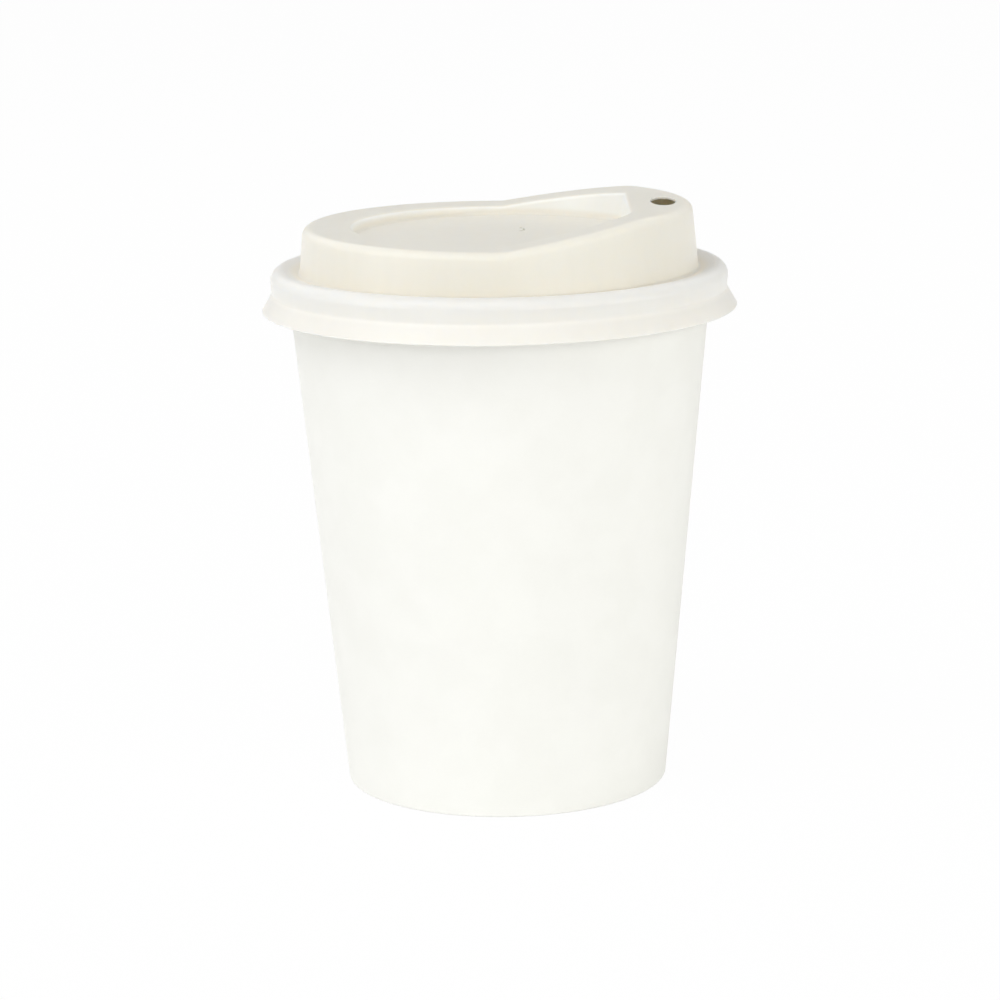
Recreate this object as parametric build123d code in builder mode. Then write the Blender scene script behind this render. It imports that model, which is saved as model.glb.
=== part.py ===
from build123d import *
from math import asin, atan2, cos, degrees, hypot, radians, sin, tan
import os

# A paper takeaway cup closed with a sip-through lid, in millimetres.
# The origin is on the cup's axis, at the surface it stands on. +Z is up, and the
# sip side of the lid faces +X. The wall's side seam is at the back, towards +Y.

# Cup
cup_height = 92.7  # table to the top of the rolled rim
rim_radius = 39.73  # outside of the rolled rim
foot_radius = 28.8  # outside face of the wall, carried down to the table
wall_board = 0.35  # paperboard of the wall
roll_radius = 1.25  # outside of the rim's rolled section
roll_turn = 300  # degrees that the rim is rolled through

# Side seam
lap_width = 7.0  # overlap of the blank's two edges
lap_fade = 2.5  # run-out of the lap on the side away from its cut edge
outer_step = 0.20  # how far the outer lap stands proud of the wall
inner_step = 0.15  # the same on the inside
seam_angle = 97  # degrees from the sip side

# Base and hem
base_board = 0.30  # paperboard of the base
base_recess = 7.0  # table to the underside of the base
base_bend = 0.7  # radius at which the base turns down into its skirt
hem_gap = 0.8  # hem's cut edge to the underside of the base
crease = 0.025  # inside radius of the hem's two folds
glue_gap = 0.03  # glue film on each side of the base's skirt

# Lid, from its edge inwards
lid_gauge = 0.45  # thickness of the formed sheet
seat_gap = 0.2  # rim to the crown of the bead
bead_clearance = 0.3  # rolled rim to the inside of the bead
snap_clearance = 0.1  # rolled rim to the inside of the neck
neck_drop = 2.2  # bead's centre down to the neck
skirt_drop = 5.4  # bead's centre down to the skirt's lower edge
skirt_flare = 1.8  # how far the skirt spreads out below the neck
neck_bend = 0.8  # radius between neck and skirt
dome_setback = 1.93  # inside of the rolled rim in to the foot of the dome
moat_depth = 0.95  # crown of the bead down to the moat
moat_bend = 0.5  # radius at the foot of the dome
dome_lean = 5.4  # degrees that the dome's wall leans in

# Dome, with rises measured from the top of the cup's rim
ledge_rise = 7.5  # low side of the top, at the foot of the ramp
ledge_slope = 0.85  # degrees that the ledge rises towards its far edge
platform_rise = 11.3  # top of the sip platform
ramp_length = 23.1  # foot to top, seen from above
ramp_foot_round = 8.0
ramp_top_round = 14.0
top_round = 1.6  # outer edge of the top
joint_rise = 2.8  # where the dome's top half is joined to its lower half

# Recess in the top, set in from the dome's wall at the level of its floor
recess_rise = 5.9  # its floor
ledge_width = 9.1  # dome's wall to the recess's round side
platform_length = 12.7  # dome's wall to the recess's straight side, below the platform
ramp_setback = 2.0  # straight side to the top of the ramp
recess_draft = 8  # degrees that its wall leans back
recess_corner = 3.0  # plan corners of the straight side
recess_round = 0.8  # upper edge
floor_round = 0.75  # lower edge

# Openings in the lid
sip_inset = 5.05  # dome's wall at the top to the middle of the sip hole
sip_width = 4.5  # towards the axis
sip_length = 11.5
vent_radius = 4.0  # the vent is a short curved slit
vent_arc = 75
vent_width = 0.4
vent_centre = (0.6, 6.0)  # centre of the slit's curve

# Worked out from the sizes above, with heights from the table and the sip side at +X
hem_height = base_recess - hem_gap
fold_round = crease + wall_board / 2
roll_centre = (rim_radius - roll_radius, cup_height - roll_radius)
wall_lean = degrees(
    atan2(roll_centre[0] - foot_radius, roll_centre[1])
    - asin((roll_radius - wall_board) / hypot(roll_centre[0] - foot_radius, roll_centre[1]))
)
bead_radius = roll_radius + bead_clearance + lid_gauge
bead_centre = (roll_centre[0], cup_height + seat_gap + lid_gauge - bead_radius)
neck_radius = rim_radius + snap_clearance + lid_gauge
skirt_radius = neck_radius + skirt_flare
skirt_bottom = bead_centre[1] - skirt_drop
moat_radius = roll_centre[0] - roll_radius - dome_setback
moat_height = bead_centre[1] + bead_radius - moat_depth
joint_height = cup_height + joint_rise
ledge_height = cup_height + ledge_rise
platform_height = cup_height + platform_rise
recess_floor = cup_height + recess_rise


def wall_radius(height, depth=0.0):
    """Radius at a height, and at a depth in from the outside face of the wall."""
    return foot_radius + height * tan(radians(wall_lean)) - depth / cos(radians(wall_lean))


def dome_radius(height, inset=0.0):
    """Radius of the dome's wall at a height, or of a face inset from it."""
    lean = radians(dome_lean)
    return moat_radius - (height - moat_height) * tan(lean) - inset / cos(lean)


recess_radius = dome_radius(recess_floor) - ledge_width
platform_edge = dome_radius(recess_floor) - platform_length
ramp_end = platform_edge + ramp_setback
ramp_start = ramp_end - ramp_length
sip_distance = dome_radius(platform_height) - sip_inset


def lap_face(height, depth, step, turn):
    """Plan of a lap of the side seam, from its cut edge along its flat to its run-out.

    The lap stands a step out from the wall, or in if the step is negative. A turn of 1
    has the cut edge at the start of the overlap, and -1 has it at the end.
    """
    face = wall_radius(height, depth)
    half_lap = degrees(lap_width / face) / 2
    cut = seam_angle - turn * half_lap
    run_out = 2 * half_lap + degrees(lap_fade / face)
    end = radians(cut + turn * run_out)
    with BuildSketch(Plane.XY.offset(height)) as section:
        with BuildLine():
            flat = CenterArc((0, 0), face + step, cut, turn * 2 * half_lap)
            root = CenterArc((0, 0), face - step, cut, turn * run_out)
            Line(root @ 0, flat @ 0)
            Polyline(flat @ 1, (face * cos(end), face * sin(end)), root @ 1)
        make_face()
    return section.sketch.face()


def dome_form(inset):
    """Solid inside the dome's face, from the joint up: inset 0 is the outside."""
    top = platform_height + top_round
    with BuildPart() as form:
        with BuildSketch(Plane.XZ):
            with BuildLine():
                Polyline(
                    (0, joint_height),
                    (dome_radius(joint_height, inset), joint_height),
                    (dome_radius(top, inset), top),
                    (0, top),
                    close=True,
                )
            make_face()
        revolve(axis=Axis.Z)

        reach = moat_radius + top_round
        ledge_run = reach + ramp_start
        with BuildSketch(Plane.XZ):
            with BuildLine():
                crown = FilletPolyline(
                    (-reach, ledge_height + ledge_run * tan(radians(ledge_slope)) - inset),
                    (ramp_start, ledge_height - inset),
                    (ramp_end, platform_height - inset),
                    (reach, platform_height - inset),
                    radius=(ramp_foot_round + inset, ramp_top_round - inset),
                )
                Polyline(crown @ 1, (reach, joint_height), (-reach, joint_height), crown @ 0)
            make_face()
        extrude(amount=reach, both=True, mode=Mode.INTERSECT)
        rim = form.edges().filter_by(GeomType.LINE, reverse=True)
        rim = rim.filter_by_position(Axis.Z, recess_floor - inset, top)
        fillet(rim, top_round - inset)

        with BuildSketch(Plane.XY.offset(recess_floor - inset)) as floor:
            Circle(recess_radius + inset)
            with Locations((platform_edge + inset, 0)):
                Rectangle(reach, 2 * reach, align=(Align.MIN, Align.CENTER), mode=Mode.SUBTRACT)
            fillet(floor.vertices(), recess_corner + inset)
        extrude(amount=top - recess_floor, taper=-recess_draft, mode=Mode.SUBTRACT)
        floor_face = form.faces().filter_by(Axis.Z).sort_by(Axis.Z)[1]
        fillet(floor_face.edges(), floor_round + inset)
        lip = form.edges().filter_by(lambda edge: edge.bounding_box().min.Z > ledge_height - inset - 0.1)
        lip = lip.filter_by(lambda edge: all(hypot(v.X, v.Y) < recess_radius + 2 for v in edge.vertices()))
        fillet(lip, recess_round - inset)
    return form.part


# Wall of the cup: one wrapped blank, folded into the hem below and rolled into the rim above
hem_depth = 1.5 * wall_board + base_board + 2 * glue_gap
fold_level = wall_board / 2
roll_line = roll_radius - wall_board / 2
with BuildPart() as cup_wall:
    with BuildSketch(Plane.XZ):
        with BuildLine():
            rim_roll = CenterArc(roll_centre, roll_line, 180 - wall_lean, -roll_turn)
            FilletPolyline(
                (wall_radius(hem_height, hem_depth), hem_height),
                (wall_radius(fold_level, hem_depth), fold_level),
                (wall_radius(fold_level, wall_board / 2), fold_level),
                rim_roll @ 0,
                radius=fold_round,
            )
        trace(line_width=wall_board)
    revolve(axis=Axis.Z)

    outer_ends = (wall_board + fold_round, roll_centre[1] - roll_radius)
    inner_ends = (base_recess + 2 * base_board, roll_centre[1])
    loft([lap_face(height, 0, outer_step, 1) for height in outer_ends], ruled=True)
    loft([lap_face(height, wall_board, -inner_step, -1) for height in inner_ends], ruled=True)

# Base of the cup: a disc with its edge turned down into the hem
skirt_depth = wall_board + glue_gap + base_board / 2
disc_level = base_recess + base_board / 2
skirt_foot = wall_board + fold_round
with BuildPart() as cup_base:
    with BuildSketch(Plane.XZ):
        with BuildLine():
            FilletPolyline(
                (0, disc_level),
                (wall_radius(disc_level, skirt_depth), disc_level),
                (wall_radius(skirt_foot, skirt_depth), skirt_foot),
                radius=base_bend,
            )
        trace(line_width=base_board)
    revolve(axis=Axis.Z)

# Lid: skirt, neck, bead, moat and dome, formed from one sheet
with BuildPart() as lid:
    with BuildSketch(Plane.XZ):
        with BuildLine():
            FilletPolyline(
                (skirt_radius, skirt_bottom),
                (neck_radius, bead_centre[1] - neck_drop),
                (bead_centre[0] + bead_radius, bead_centre[1]),
                radius=neck_bend,
            )
            bead = CenterArc(bead_centre, bead_radius, 0, 108)
            FilletPolyline(
                bead @ 1,
                (moat_radius, moat_height),
                (dome_radius(joint_height + 2), joint_height + 2),
                radius=moat_bend,
            )
            offset(amount=-lid_gauge, side=Side.LEFT)
        make_face()
    revolve(axis=Axis.Z)
    split(bisect_by=Plane.XY.offset(joint_height), keep=Keep.BOTTOM)
    add(dome_form(0))
    add(dome_form(lid_gauge), mode=Mode.SUBTRACT)

    # Sip hole in the platform, and the vent slit in the recess
    with BuildSketch(Plane.XY.offset(platform_height - 2 * lid_gauge)):
        with Locations((sip_distance, 0)):
            Ellipse(sip_width / 2, sip_length / 2)
    extrude(amount=3 * lid_gauge, mode=Mode.SUBTRACT)
    with BuildSketch(Plane.XY.offset(recess_floor - 2 * lid_gauge)):
        SlotArc(CenterArc(vent_centre, vent_radius, -vent_arc / 2, vent_arc), vent_width)
    extrude(amount=3 * lid_gauge, mode=Mode.SUBTRACT)

os.makedirs("parts", exist_ok=True)
for piece, name in ((cup_wall, "cup_wall"), (cup_base, "cup_base"), (lid, "lid")):
    piece.part.label = name
    export_step(piece.part, f"parts/{name}.step")
    print(name, len(piece.part.solids()), round(piece.part.volume, 2), piece.part.is_valid)
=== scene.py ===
"""Looks of a paper takeaway cup with a sip-through lid, in metres, on the frame of its CAD model.

The origin is on the cup's axis, at the surface it stands on. +Z is up, +X is the sip side of the
lid, and the wall's side seam is at the back, towards +Y.
"""

import logging
import math
from dataclasses import dataclass, field
from enum import Enum

import bmesh
import bpy
from mathutils import Matrix, Vector

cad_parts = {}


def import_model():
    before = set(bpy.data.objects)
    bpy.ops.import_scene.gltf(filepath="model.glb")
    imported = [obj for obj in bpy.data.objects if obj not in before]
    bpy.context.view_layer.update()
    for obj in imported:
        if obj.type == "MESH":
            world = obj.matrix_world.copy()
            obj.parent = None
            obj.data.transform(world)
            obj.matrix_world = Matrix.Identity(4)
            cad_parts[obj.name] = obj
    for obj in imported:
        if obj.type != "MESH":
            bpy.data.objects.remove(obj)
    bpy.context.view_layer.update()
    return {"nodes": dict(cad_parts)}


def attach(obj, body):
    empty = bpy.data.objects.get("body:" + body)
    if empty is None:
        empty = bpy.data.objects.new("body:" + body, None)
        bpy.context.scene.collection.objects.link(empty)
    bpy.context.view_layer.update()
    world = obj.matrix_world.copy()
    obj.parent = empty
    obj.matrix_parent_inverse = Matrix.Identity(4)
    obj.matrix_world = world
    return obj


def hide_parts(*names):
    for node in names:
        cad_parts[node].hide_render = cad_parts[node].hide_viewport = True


log = logging.getLogger("cup")

MM = 0.001
NOISE_MIDDLE = 0.5
Colour = tuple[float, float, float]
WHITE: Colour = (1.0, 1.0, 1.0)


class Body(Enum):
    """The bodies of the model that its pieces ride on."""

    CUP = "cup"
    LID = "lid"


class Slot(Enum):
    """The record's material slots."""

    BOARD = "cup_board"
    PLASTIC = "lid_plastic"


@dataclass(frozen=True)
class CleanCopy:
    """Copy of a CAD node with its loose triangles joined and its shading made even."""

    weld: float = 0.002 * MM
    thinnest: float = 0.004 * MM
    flat_within: float = math.radians(0.3)
    sharp_from: float = math.radians(32)

    def of(self, node: bpy.types.Object, name: str) -> bpy.types.Object:
        """Makes the copy.

        Args:
            node: The CAD node's object.
            name: The copy's name.

        Returns:
            The copy, at the origin.
        """
        bm = bmesh.new()
        bm.from_mesh(node.data)
        bmesh.ops.remove_doubles(bm, verts=bm.verts, dist=self.weld)
        bmesh.ops.dissolve_degenerate(bm, edges=bm.edges, dist=self.thinnest)
        bmesh.ops.dissolve_limit(bm, angle_limit=self.flat_within, verts=bm.verts, edges=bm.edges)
        for face in bm.faces:
            face.smooth = True
            face.material_index = 0
        for edge in bm.edges:
            edge.smooth = edge.is_manifold and edge.calc_face_angle() < self.sharp_from
        mesh = bpy.data.meshes.new(name)
        bm.to_mesh(mesh)
        bm.free()
        piece = bpy.data.objects.new(name, mesh)
        bpy.context.collection.objects.link(piece)
        evened = piece.modifiers.new("even shading", "WEIGHTED_NORMAL")
        evened.keep_sharp = True
        return piece


class Wire:
    """A shader node's output, on which Python's arithmetic adds Math nodes."""

    def __init__(self, graph: "Graph", socket: bpy.types.NodeSocket | None) -> None:
        """Wraps a socket.

        Args:
            graph: What the socket's node belongs to.
            socket: The output that the wire leads from, or None for a node that ends a graph.
        """
        self.graph = graph
        self.socket = socket

    def _maths(self, operation: str, *values: "Wire | float") -> "Wire":
        """Adds a Math node and returns its output."""
        return self.graph.node("ShaderNodeMath", {"operation": operation}, dict(enumerate(values)))

    def __add__(self, other: "Wire | float") -> "Wire":
        """Sum."""
        return self._maths("ADD", self, other)

    def __radd__(self, other: float) -> "Wire":
        """Sum with a number on the left."""
        return self._maths("ADD", other, self)

    def __sub__(self, other: "Wire | float") -> "Wire":
        """Difference."""
        return self._maths("SUBTRACT", self, other)

    def __rsub__(self, other: float) -> "Wire":
        """Difference from a number on the left."""
        return self._maths("SUBTRACT", other, self)

    def __mul__(self, other: "Wire | float") -> "Wire":
        """Product."""
        return self._maths("MULTIPLY", self, other)

    def __rmul__(self, other: float) -> "Wire":
        """Product with a number on the left."""
        return self._maths("MULTIPLY", other, self)

    def __pow__(self, power: float) -> "Wire":
        """Power."""
        return self._maths("POWER", self, power)

    def __abs__(self) -> "Wire":
        """Size without its sign."""
        return self._maths("ABSOLUTE", self)

    def over(self, start: float, end: float) -> "Wire":
        """Smooth rise from 0 at one value to 1 at another, which may be the lower one.

        Args:
            start: The value at which the rise begins.
            end: The value at which it is complete.

        Returns:
            The rise, between 0 and 1.
        """
        settings = {"interpolation_type": "SMOOTHSTEP"}
        values = {"Value": self, "From Min": start, "From Max": end}
        return self.graph.node("ShaderNodeMapRange", settings, values)

    def arc_tangent(self, other: "Wire") -> "Wire":
        """Angle whose tangent is this over the other, in all four quarters."""
        return self._maths("ARCTAN2", self, other)

    def at_least(self, other: "Wire | float") -> "Wire":
        """The larger of this and the other."""
        return self._maths("MAXIMUM", self, other)

    def at_most(self, other: "Wire | float") -> "Wire":
        """The smaller of this and the other."""
        return self._maths("MINIMUM", self, other)


def diagonal(across: Wire, along: Wire) -> Wire:
    """Length of the line that runs this far across and along."""
    return (across * across + along * along) ** 0.5


class Graph:
    """The nodes of a material or a world, made one call at a time."""

    def __init__(self, owner: bpy.types.Material | bpy.types.World) -> None:
        """Empties what the nodes belong to.

        Args:
            owner: The material or world.
        """
        self.owner = owner
        owner.use_nodes = True
        self.tree = owner.node_tree
        self.tree.nodes.clear()

    @classmethod
    def of_material(cls, name: str) -> "Graph":
        """Starts a new material.

        Args:
            name: The material's name.

        Returns:
            Its nodes.
        """
        return cls(bpy.data.materials.new(name))

    def node(
        self,
        kind: str,
        settings: dict[str, str] | None = None,
        values: dict[str | int, "Wire | float | Colour"] | None = None,
        out: int | str = 0,
    ) -> Wire:
        """Adds a node.

        Args:
            kind: The node's type.
            settings: Its own settings, set first.
            values: What goes to its inputs, by name or number: wires, numbers or colours.
            out: The output to return, by name or number.

        Returns:
            The node's output.
        """
        made = self.tree.nodes.new(kind)
        for name, value in (settings or {}).items():
            setattr(made, name, value)
        for name, value in (values or {}).items():
            if isinstance(value, Wire):
                self.tree.links.new(value.socket, made.inputs[name])
            elif isinstance(value, tuple) and made.inputs[name].type == "RGBA":
                made.inputs[name].default_value = (*value, 1.0)
            else:
                made.inputs[name].default_value = value
        return Wire(self, made.outputs[out] if made.outputs else None)

    def place(self) -> Wire:
        """Place on the piece, in metres."""
        return self.node("ShaderNodeTexCoord", out="Object")

    def axes(self, place: Wire) -> tuple[Wire, Wire, Wire]:
        """The three parts of a place."""
        values = {"Vector": place}
        return tuple(self.node("ShaderNodeSeparateXYZ", values=values, out=axis) for axis in "XYZ")

    def rays(self, *kinds: str) -> list[Wire]:
        """1 for rays of each kind, such as "Camera", and 0 for the others."""
        return [self.node("ShaderNodeLightPath", out=f"Is {kind} Ray") for kind in kinds]

    def stretched(self, place: Wire, scale: tuple[float, float, float]) -> Wire:
        """A place with each of its parts scaled."""
        return self.node("ShaderNodeMapping", values={"Vector": place, "Scale": scale})

    def noise(self, place: Wire, size: float, detail: float = 3.0, roughness: float = 0.5) -> Wire:
        """Cloudy noise about 0.5.

        Args:
            place: Where on the piece.
            size: Width of its largest clouds, in metres.
            detail: How many finer layers it has.
            roughness: How strong each finer layer is.

        Returns:
            The noise, mostly between 0.3 and 0.7.
        """
        values = {"Vector": place, "Scale": 1.0 / size, "Detail": detail, "Roughness": roughness}
        return self.node("ShaderNodeTexNoise", values=values, out="Fac")

    def blend(self, share: Wire, low: "Wire | Colour", high: "Wire | Colour") -> Wire:
        """A colour between two.

        Args:
            share: 0 for the first colour, 1 for the second.
            low: The first colour.
            high: The second colour.

        Returns:
            The blended colour.
        """
        values = {"Factor": share, 6: low, 7: high}
        return self.node("ShaderNodeMix", {"data_type": "RGBA"}, values, out=2)

    def shaded(self, colour: Wire, level: Wire) -> Wire:
        """A colour made lighter or darker by a level about 1."""
        values = {0: colour, "Scale": level}
        return self.node("ShaderNodeVectorMath", {"operation": "SCALE"}, values)

    def bump(self, height: Wire, distance: float) -> Wire:
        """Bumped normal.

        Args:
            height: The height, 0 to 1.
            distance: What a height of 1 stands for, in metres.

        Returns:
            The normal.
        """
        return self.node("ShaderNodeBump", values={"Height": height, "Distance": distance})

    def finish(self, **sockets: "Wire | float | Colour") -> bpy.types.Material:
        """Ends the material in one Principled shader.

        Args:
            sockets: The shader's inputs, with an underscore for each space in a name.

        Returns:
            The material.
        """
        values = {name.replace("_", " "): value for name, value in sockets.items()}
        shader = self.node("ShaderNodeBsdfPrincipled", values=values)
        self.node("ShaderNodeOutputMaterial", values={"Surface": shader})
        return self.owner


@dataclass(frozen=True)
class CupShape:
    """The sizes of the cup that its finishes follow."""

    foot_radius: float = 28.8 * MM
    wall_slope: float = 0.096
    board: float = 0.35 * MM
    rim_radius: float = 39.73 * MM
    rim_height: float = 92.7 * MM
    roll_radius: float = 1.25 * MM
    seam_angle: float = math.radians(97)
    lap_width: float = 7.0 * MM


@dataclass(frozen=True)
class Paperboard:
    """White cup board, fibrous outside and coated with a thin film on the drink's side."""

    shape: CupShape = field(default_factory=CupShape)
    face: Colour = (0.9, 0.9, 0.86)
    cloud: Colour = (0.885, 0.885, 0.843)
    # The board's raw core on the seam's cut edge, also used as painted shade on a thin strip beside it.
    raw_core_and_shade: Colour = (0.80, 0.775, 0.71)
    fibre_size: float = 0.7 * MM
    fibre_stretch: tuple[float, float, float] = (1.0, 1.0, 3.0)
    fibre_detail: float = 5.0
    fibre_roughness: float = 0.62
    cloud_size: float = 9.0 * MM
    cloud_detail: float = 2.0
    cloud_from: float = 0.35
    cloud_to: float = 0.65
    mottle: float = 0.03
    dullness: float = 0.66
    uneven_dullness: float = 0.12
    film_polish: float = 0.28
    film_levelling: float = 0.8
    grain_depth: float = 0.012 * MM
    reflection: float = 0.4
    soft_edge: float = 0.05 * MM
    roll_near: float = 0.1 * MM
    roll_far: float = 0.2 * MM
    proud_from: float = 0.01 * MM
    cut_reach: float = 0.12 * MM

    def make(self, name: str) -> bpy.types.Material:
        """Builds the material.

        Args:
            name: The material's name.

        Returns:
            The material.
        """
        graph = Graph.of_material(name)
        place = graph.place()
        along_fibres = graph.stretched(place, self.fibre_stretch)
        fibres = graph.noise(along_fibres, self.fibre_size, self.fibre_detail, self.fibre_roughness)
        clouds = graph.noise(place, self.cloud_size, self.cloud_detail)
        film = self._film_side(graph, place)
        colour = graph.blend(clouds.over(self.cloud_from, self.cloud_to), self.face, self.cloud)
        colour = graph.shaded(colour, 1.0 + self.mottle * (fibres - NOISE_MIDDLE))
        # Raw core on the cut edge, and painted shade of the lap's edge on the outer face beside it.
        colour = graph.blend(self._cut_edge_and_shade(graph, place), colour, self.raw_core_and_shade)
        uneven = self.uneven_dullness * (fibres - NOISE_MIDDLE)
        relief = fibres * (1.0 - self.film_levelling * film)
        return graph.finish(
            Base_Color=colour,
            Roughness=self.dullness + uneven - self.film_polish * film,
            Normal=graph.bump(relief, self.grain_depth),
            Specular_IOR_Level=self.reflection,
        )

    def _film_side(self, graph: Graph, place: Wire) -> Wire:
        """1 on the drink's side of the blank, which is also the outside of the rolled rim."""
        shape = self.shape
        x, y, z = graph.axes(place)
        radius = diagonal(x, y)
        middle = shape.foot_radius - shape.board / 2 + shape.wall_slope * z
        inside = (middle - radius).over(-self.soft_edge, self.soft_edge)
        across = radius - (shape.rim_radius - shape.roll_radius)
        along = z - (shape.rim_height - shape.roll_radius)
        off_roll = abs(diagonal(across, along) - shape.roll_radius)
        on_roll = off_roll.over(self.roll_far, self.roll_near)
        past_wall = (across + shape.roll_radius).over(-self.soft_edge, self.soft_edge)
        return inside.at_least(on_roll * past_wall)

    def _cut_edge_and_shade(self, graph: Graph, place: Wire) -> Wire:
        """1 on the raw cut edge of the seam's outer lap, where the board's core shows, and on a thin strip
        of the outer face beside it, where the core's colour is painted shade.
        """
        shape = self.shape
        x, y, z = graph.axes(place)
        radius = diagonal(x, y)
        angle = y.arc_tangent(x)
        off_edge = (angle - shape.seam_angle) * radius + shape.lap_width / 2
        proud = radius - shape.foot_radius - shape.wall_slope * z
        outer = proud.over(self.proud_from, self.soft_edge)
        return abs(off_edge).over(self.cut_reach, self.soft_edge) * outer


@dataclass(frozen=True)
class FormedSheet:
    """Cream plastic sheet, drawn over a mould.

    It is warm in the dome, with a painted highlight on the recess's steep side, painted backlight from the
    white board on the bead, and a darker grey skirt.
    """

    dome: Colour = (0.893, 0.83, 0.72)
    # Painted light: the bead's greyer colour stands in for the white board seen through the sheet.
    painted_backlight: Colour = (0.85, 0.83, 0.78)
    skirt: Colour = (0.79, 0.775, 0.735)
    # Painted highlight: a paler colour for the recess's steep side, where a lamp lights it.
    painted_highlight: Colour = (0.94, 0.905, 0.83)
    dome_radius: float = 36.0 * MM
    # Radius beyond which the painted backlight takes over from the dome's colour.
    backlight_radius: float = 37.6 * MM
    skirt_from: float = 89.4 * MM
    skirt_to: float = 88.2 * MM
    recess_radius: float = 25.6 * MM
    platform_edge: float = 22.0 * MM
    recess_draft: float = math.tan(math.radians(8))
    recess_floor: float = 98.6 * MM
    # Heights above the recess floor over which the painted highlight fades in.
    highlight_from: float = 0.5 * MM
    highlight_to: float = 1.6 * MM
    side_near: float = 0.15 * MM
    side_far: float = 0.35 * MM
    streak_width: float = 2.4 * MM
    streak_stretch: tuple[float, float, float] = (1.0, 1.0, 0.12)
    streak_detail: float = 2.0
    mottle: float = 0.03
    ripple_size: float = 7.0 * MM
    ripple_detail: float = 1.0
    ripple_depth: float = 0.02 * MM
    grain_size: float = 0.25 * MM
    grain_detail: float = 2.0
    dullness: float = 0.38
    rippled_dullness: float = 0.1
    grained_dullness: float = 0.06
    light_depth: float = 0.9 * MM
    light_share: Colour = (1.0, 0.92, 0.8)
    refraction: float = 1.5

    def make(self, name: str) -> bpy.types.Material:
        """Builds the material.

        Args:
            name: The material's name.

        Returns:
            The material.
        """
        graph = Graph.of_material(name)
        place = graph.place()
        drawn_up = graph.stretched(place, self.streak_stretch)
        streaks = graph.noise(drawn_up, self.streak_width, self.streak_detail)
        ripples = graph.noise(place, self.ripple_size, self.ripple_detail)
        grain = graph.noise(place, self.grain_size, self.grain_detail)
        level = 1.0 + self.mottle * (streaks - NOISE_MIDDLE)
        rippled = self.rippled_dullness * (ripples - NOISE_MIDDLE)
        grained = self.grained_dullness * (grain - NOISE_MIDDLE)
        return graph.finish(
            Base_Color=graph.shaded(self._tint(graph, place), level),
            Roughness=self.dullness + rippled + grained,
            Normal=graph.bump(ripples, self.ripple_depth),
            Subsurface_Weight=1.0,
            Subsurface_Radius=self.light_share,
            Subsurface_Scale=self.light_depth,
            IOR=self.refraction,
        )

    def _tint(self, graph: Graph, place: Wire) -> Wire:
        """The sheet's colour: its own cream in the dome, a painted highlight on the recess's steep side,
        painted backlight from the white board on the bead, and a darker grey on the skirt.
        """
        x, y, z = graph.axes(place)
        radius = diagonal(x, y)
        above_floor = z - self.recess_floor
        leant_back = above_floor * self.recess_draft
        past_round_side = radius - leant_back - self.recess_radius
        past_straight_side = x - leant_back - self.platform_edge
        in_recess = past_round_side.over(self.side_far, self.side_near)
        in_recess = in_recess * past_straight_side.over(self.side_far, self.side_near)
        # Painted highlight on the recess's steep side.
        painted_highlight = above_floor.over(self.highlight_from, self.highlight_to) * in_recess
        colour = graph.blend(painted_highlight, self.dome, self.painted_highlight)
        # Painted backlight on the bead, from the white board behind the sheet.
        colour = graph.blend(radius.over(self.dome_radius, self.backlight_radius), colour, self.painted_backlight)
        return graph.blend(z.over(self.skirt_from, self.skirt_to), colour, self.skirt)


@dataclass(frozen=True)
class PhotoCamera:
    """Pinhole camera with the photograph's view of the cup.

    The focal length and the frame's width are in pixels, and the angles in radians.
    """

    focal: float = 3456.2
    frame: float = 1000.0
    sensor_mm: float = 36.0
    aside: float = -0.3 * MM
    distance: float = 606.8 * MM
    height: float = 183.7 * MM
    pitch: float = 0.2161
    roll: float = -0.0175
    yaw: float = -0.0004
    nearest: float = 0.01
    farthest: float = 50.0

    def build(self) -> bpy.types.Object:
        """Makes the camera the scene's own.

        Returns:
            The camera.
        """
        level = Vector((math.sin(self.yaw), math.cos(self.yaw), 0.0))
        forward = level * math.cos(self.pitch) - Vector((0.0, 0.0, math.sin(self.pitch)))
        right = Vector((math.cos(self.yaw), -math.sin(self.yaw), 0.0))
        up = right.cross(forward)
        turned_right = math.cos(self.roll) * right + math.sin(self.roll) * up
        turned_up = math.cos(self.roll) * up - math.sin(self.roll) * right
        data = bpy.data.cameras.new("camera")
        data.sensor_width = self.sensor_mm
        data.lens = self.focal * self.sensor_mm / self.frame
        data.clip_start = self.nearest
        data.clip_end = self.farthest
        camera = bpy.data.objects.new("camera", data)
        bpy.context.collection.objects.link(camera)
        turn = Matrix((turned_right, turned_up, -forward)).transposed().to_4x4()
        camera.matrix_world = Matrix.Translation((self.aside, -self.distance, self.height)) @ turn
        bpy.context.scene.camera = camera
        return camera


@dataclass(frozen=True)
class SoftBox:
    """A square lamp that faces the object, its power in watts and its azimuth and elevation in degrees."""

    name: str
    azimuth: float
    elevation: float
    size: float
    power: float
    tint: Colour = WHITE
    distance: float = 1.3

    def build(self, target: Vector) -> bpy.types.Object:
        """Makes the lamp.

        Args:
            target: What it faces.

        Returns:
            The lamp.
        """
        data = bpy.data.lights.new(self.name, "AREA")
        data.size = self.size
        data.energy = self.power
        data.color = self.tint
        lamp = bpy.data.objects.new(self.name, data)
        bpy.context.collection.objects.link(lamp)
        turn = math.radians(self.azimuth)
        rise = math.radians(self.elevation)
        back = Vector((math.sin(turn) * math.cos(rise), -math.cos(turn) * math.cos(rise), math.sin(rise)))
        lamp.location = target + back * self.distance
        lamp.rotation_euler = (-back).to_track_quat("-Z", "Y").to_euler()
        return lamp


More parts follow.
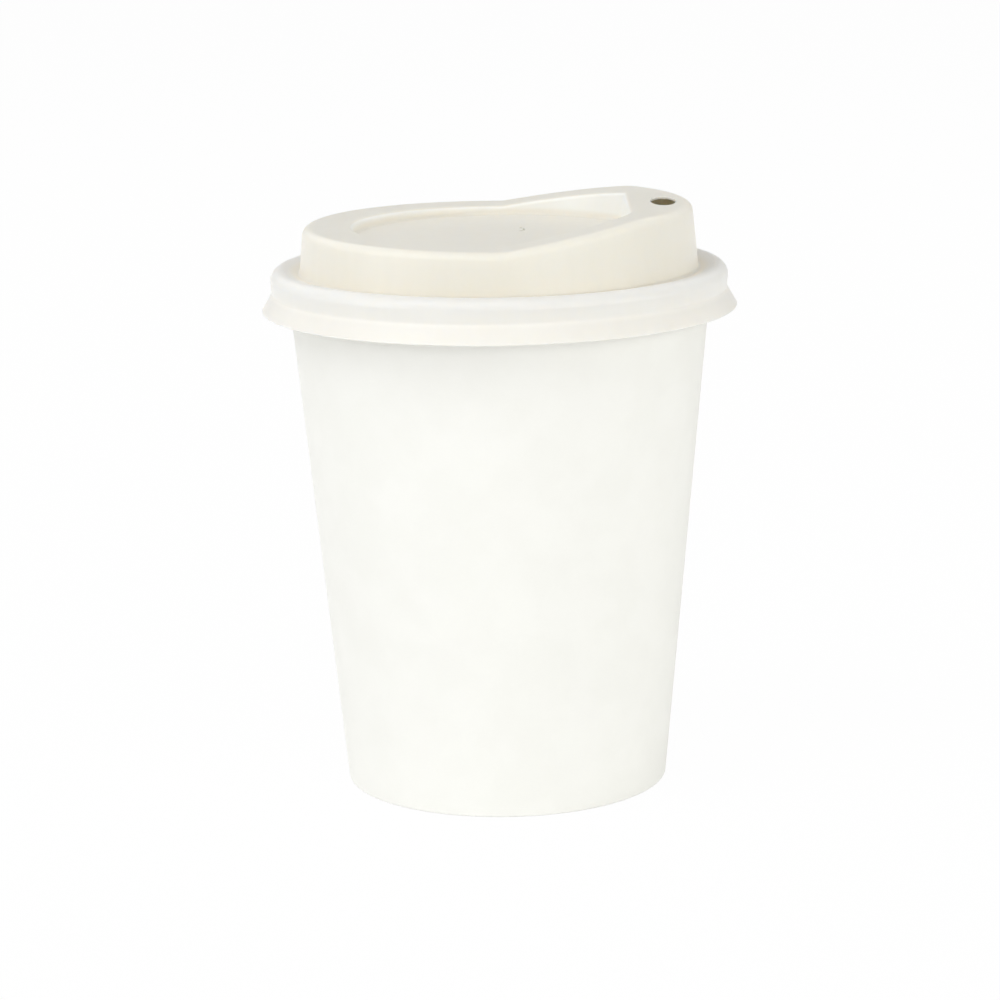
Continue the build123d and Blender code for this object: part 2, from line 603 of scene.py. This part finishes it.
@dataclass(frozen=True)
class Studio:
    """White floor and background with soft lamps round them."""

    floor_size: float = 12.0
    floor_white: Colour = (0.9, 0.9, 0.9)
    floor_veil: float = 0.97
    ambient: float = 0.5
    aim: Vector = field(default_factory=lambda: Vector((0.0, 0.0, 60 * MM)))
    lamps: tuple[SoftBox, ...] = (
        SoftBox("left high", azimuth=-60.0, elevation=50.0, size=0.8, power=4.1),
        SoftBox("left low", azimuth=-65.0, elevation=15.0, size=0.6, power=3.2),
        SoftBox("front", azimuth=30.0, elevation=12.0, size=0.5, power=3.0),
        SoftBox("right low", azimuth=65.0, elevation=15.0, size=0.6, power=2.6, tint=(1.0, 0.985, 0.91)),
        SoftBox("top", azimuth=0.0, elevation=62.0, size=0.8, power=2.2),
        SoftBox("back left", azimuth=-140.0, elevation=35.0, size=0.8, power=2.1),
        SoftBox("back right", azimuth=140.0, elevation=35.0, size=0.8, power=1.3),
    )

    def build(self) -> None:
        """Makes the floor, the world and the lamps."""
        self._floor()
        self._world()
        for lamp in self.lamps:
            lamp.build(self.aim)
        bpy.context.scene.view_settings.view_transform = "Standard"

    def _floor(self) -> None:
        """Lays the floor."""
        bm = bmesh.new()
        bmesh.ops.create_grid(bm, x_segments=1, y_segments=1, size=self.floor_size / 2)
        mesh = bpy.data.meshes.new("floor")
        bm.to_mesh(mesh)
        bm.free()
        floor = bpy.data.objects.new("floor", mesh)
        bpy.context.collection.objects.link(floor)
        mesh.materials.append(self._floor_paint("floor_white"))

    def _floor_paint(self, name: str) -> bpy.types.Material:
        """Matt white that looks like the background, and is lit and shaded only a little.

        Args:
            name: The material's name.

        Returns:
            The material.
        """
        graph = Graph.of_material(name)
        camera, mirror, glass = graph.rays("Camera", "Glossy", "Transmission")
        seen = (camera + mirror + glass).at_most(1.0)
        matt = graph.node("ShaderNodeBsdfDiffuse", values={"Color": self.floor_white})
        white = graph.node("ShaderNodeEmission", values={"Color": WHITE, "Strength": 1.0})
        mixed = graph.node("ShaderNodeMixShader", values={0: seen * self.floor_veil, 1: matt, 2: white})
        graph.node("ShaderNodeOutputMaterial", values={"Surface": mixed})
        return graph.owner

    def _world(self) -> None:
        """Lights the scene evenly, and shows white behind it."""
        world = bpy.data.worlds.new("studio")
        bpy.context.scene.world = world
        graph = Graph(world)
        camera, glass = graph.rays("Camera", "Transmission")
        strength = self.ambient + (1.0 - self.ambient) * camera.at_least(glass)
        light = graph.node("ShaderNodeBackground", values={"Color": WHITE, "Strength": strength})
        graph.node("ShaderNodeOutputWorld", values={"Surface": light})


@dataclass
class BoardCup:
    """The cup: its wrapped wall and its base, both of white board."""

    board: Paperboard = field(default_factory=Paperboard)
    copy: CleanCopy = field(default_factory=CleanCopy)

    def build(self, nodes: dict[str, bpy.types.Object]) -> list[bpy.types.Object]:
        """Makes the wall and the base.

        Args:
            nodes: The CAD nodes by name.

        Returns:
            The pieces.
        """
        finish = self.board.make("cup_board")
        return [self._piece(nodes[name], name, finish) for name in ("cup_wall", "cup_base")]

    def _piece(self, node: bpy.types.Object, name: str, finish: bpy.types.Material) -> bpy.types.Object:
        """Makes one piece of board in a node's place, and dresses it.

        Args:
            node: The CAD node's object.
            name: The node's name.
            finish: The board's material.

        Returns:
            The piece.
        """
        piece = self.copy.of(node, f"{name}_board")
        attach(piece, Body.CUP.value)
        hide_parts(name)
        piece.data.materials.append(finish)
        return piece


@dataclass
class SipLid:
    """The lid, formed from one sheet."""

    sheet: FormedSheet = field(default_factory=FormedSheet)
    copy: CleanCopy = field(default_factory=CleanCopy)

    def build(self, nodes: dict[str, bpy.types.Object]) -> list[bpy.types.Object]:
        """Makes the lid and dresses it.

        Args:
            nodes: The CAD nodes by name.

        Returns:
            The pieces.
        """
        lid = self.copy.of(nodes["lid"], "lid_shell")
        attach(lid, Body.LID.value)
        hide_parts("lid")
        lid.data.materials.append(self.sheet.make("lid_sheet"))
        return [lid]


def main() -> None:
    """Builds the camera, the studio, the cup and its lid."""
    logging.basicConfig(level=logging.INFO, format="%(name)s: %(message)s")
    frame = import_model()
    PhotoCamera().build()
    Studio().build()
    for assembly in (BoardCup(), SipLid()):
        for piece in assembly.build(frame["nodes"]):
            log.info("%s: %d faces", piece.name, len(piece.data.polygons))


if __name__ == "__main__":
    main()
